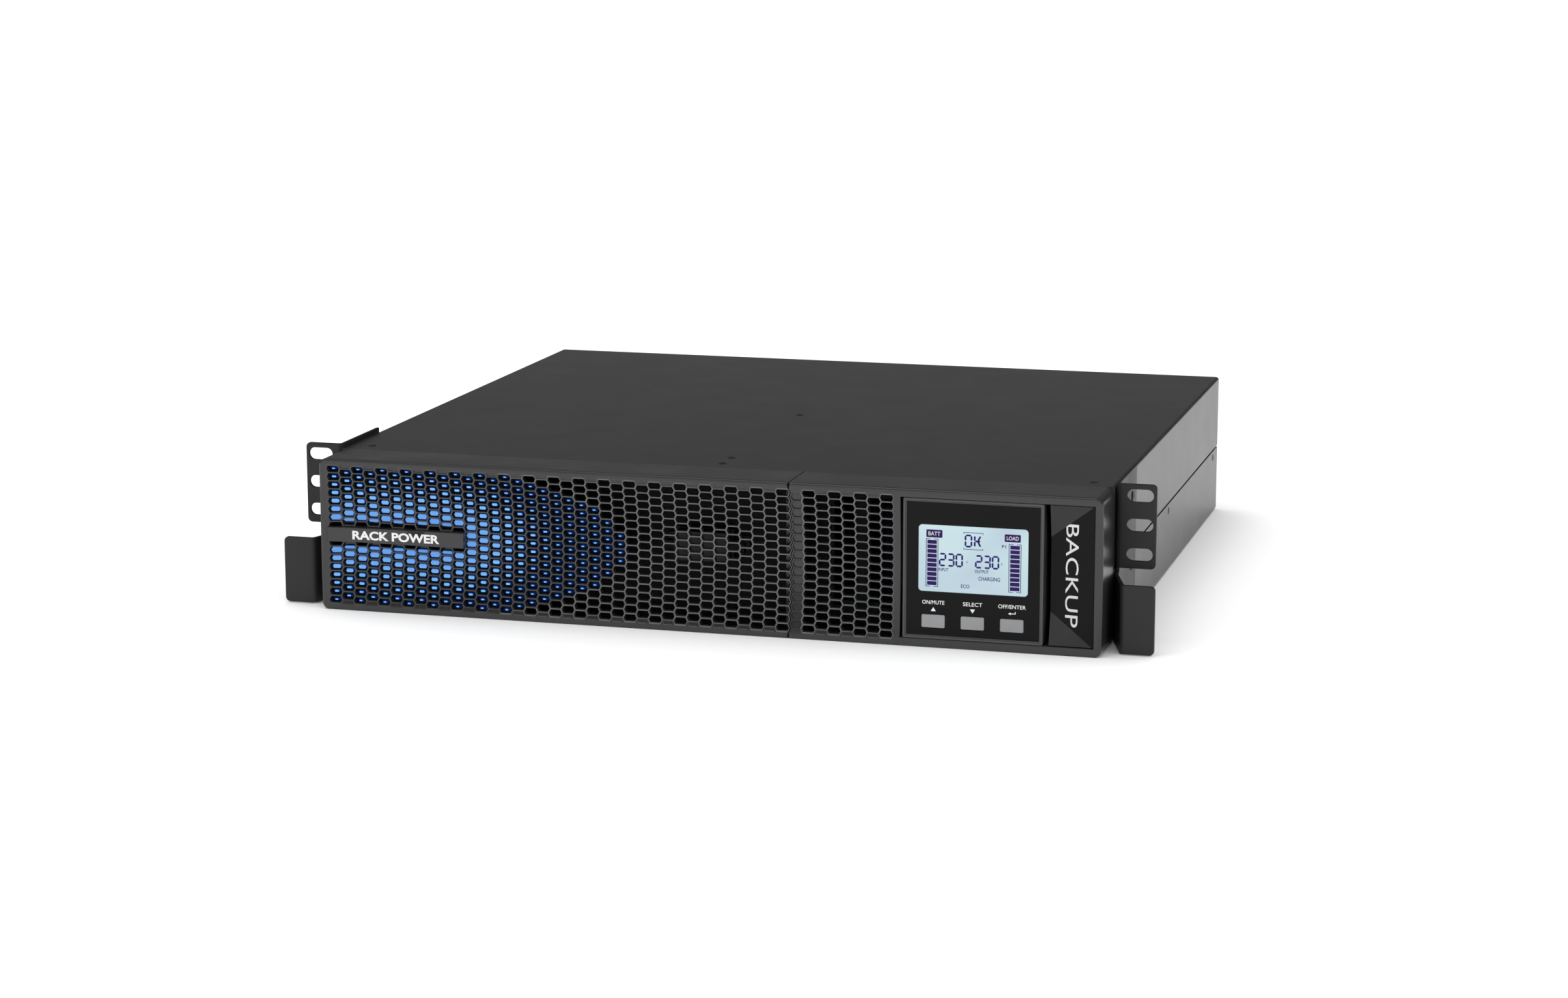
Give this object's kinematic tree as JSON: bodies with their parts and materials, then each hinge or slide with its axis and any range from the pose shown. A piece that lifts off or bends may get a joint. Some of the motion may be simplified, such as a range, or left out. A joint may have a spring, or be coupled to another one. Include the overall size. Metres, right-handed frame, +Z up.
{
  "type": "uninterruptible power supply",
  "caption": "Flat black rack-mount backup power unit with a honeycomb front, a blue-lit left side, a square display with keys, rack ears, and mains sockets and a fan at the back.",
  "frame": {"origin": "on the surface that the unit stands on, under the middle of its overall box", "axes": "+X to the right seen from the front, -Y out of the front, +Z up"},
  "size_m": [0.4906, 0.412, 0.0869],
  "materials": {
    "black_sheet": "fine satin black powder coat",
    "zinc_sheet": "zinc-plated sheet",
    "bezel_plastic": "dark grey moulded plastic, fine grain",
    "accent_blue": "glossy blue moulding",
    "gloss_black": "glossy black",
    "frame_grey": "satin grey",
    "key_grey": "light grey moulded keys",
    "lcd": "pale backlit display",
    "board_green": "solder mask",
    "battery_case": "moulded battery case",
    "connector_grey": "dark grey moulded power connector",
    "heatsink_aluminium": "extruded",
    "winding_copper": "enamelled copper winding",
    "core_ferrite": "dark core",
    "capacitor_sleeve": "shrink sleeve",
    "fan_black": "moulded black plastic",
    "bright_metal": "nickel plate",
    "socket_black": "moulded socket",
    "reset_red": "push button"
  },
  "bodies": {
    "chassis": {"top_cover": "black_sheet", "bottom_tray": "black_sheet", "front_panel": "black_sheet", "battery_door": "black_sheet", "bay_divider": "zinc_sheet", "cover_screw_front_left": "black_sheet", "cover_screw_front_middle": "black_sheet", "cover_screw_front_right": "black_sheet", "cover_screw_second_row": "black_sheet", "cover_screw_centre": "black_sheet", "left_ear": "black_sheet", "right_ear": "black_sheet", "ear_screw_left_upper": "bright_metal", "ear_screw_left_lower": "bright_metal", "ear_screw_right_upper": "bright_metal", "ear_screw_right_lower": "bright_metal", "right_bezel": "bezel_plastic", "badge_panel": "gloss_black", "battery_tray": "zinc_sheet", "battery_front": "battery_case", "battery_middle": "battery_case", "battery_rear": "battery_case", "battery_socket": "connector_grey", "battery_plug": "connector_grey", "main_board": "board_green", "heatsink_left": "heatsink_aluminium", "heatsink_right": "heatsink_aluminium", "transformer_core": "core_ferrite", "transformer_coil": "winding_copper", "filter_choke": "winding_copper", "bus_capacitor_1": "capacitor_sleeve", "bus_capacitor_2": "capacitor_sleeve", "bus_capacitor_3": "capacitor_sleeve", "control_board": "board_green", "rear_panel": "black_sheet", "upper_outlet_strip": "socket_black", "lower_outlet_strip": "socket_black", "power_inlet": "socket_black", "breaker_body": "socket_black", "usb_port": "bright_metal", "serial_port": "bright_metal", "option_slot_cover": "black_sheet", "expansion_socket": "socket_black", "earth_screw": "bright_metal", "fan_frame": "fan_black", "fan_guard": "bright_metal"},
    "front_bezel": {"left_bezel": "bezel_plastic", "accent_insert": "accent_blue", "name_bar": "bezel_plastic"},
    "display": {"display_housing": "frame_grey", "display_face": "gloss_black", "lcd_panel": "lcd", "display_board": "board_green"},
    "key_left": {"button_left": "key_grey"},
    "key_middle": {"button_middle": "key_grey"},
    "key_right": {"button_right": "key_grey"},
    "fan": {"fan_rotor": "fan_black"},
    "reset": {"breaker_button": "reset_red"}
  },
  "joints": [
    {"name": "bezel_pull", "type": "slide", "parent": "chassis", "child": "front_bezel", "axis": [0, -1, 0], "range_m": [0, 0.06]},
    {"name": "display_pull", "type": "slide", "parent": "chassis", "child": "display", "axis": [0, -1, 0], "range_m": [0, 0.018]},
    {"name": "key_left_press", "type": "slide", "parent": "display", "child": "key_left", "axis": [0, 1, 0], "range_m": [0, 0.0012], "stiffness_N_per_m": 400},
    {"name": "key_middle_press", "type": "slide", "parent": "display", "child": "key_middle", "axis": [0, 1, 0], "range_m": [0, 0.0012], "stiffness_N_per_m": 400},
    {"name": "key_right_press", "type": "slide", "parent": "display", "child": "key_right", "axis": [0, 1, 0], "range_m": [0, 0.0012], "stiffness_N_per_m": 400},
    {"name": "fan_spin", "type": "hinge", "parent": "chassis", "child": "fan", "pos_m": [0.165, 0.188, 0.0425], "axis": [0, 1, 0], "continuous": true},
    {"name": "breaker_trip", "type": "slide", "parent": "chassis", "child": "reset", "axis": [0, 1, 0], "range_m": [0, 0.004]}
  ]
}
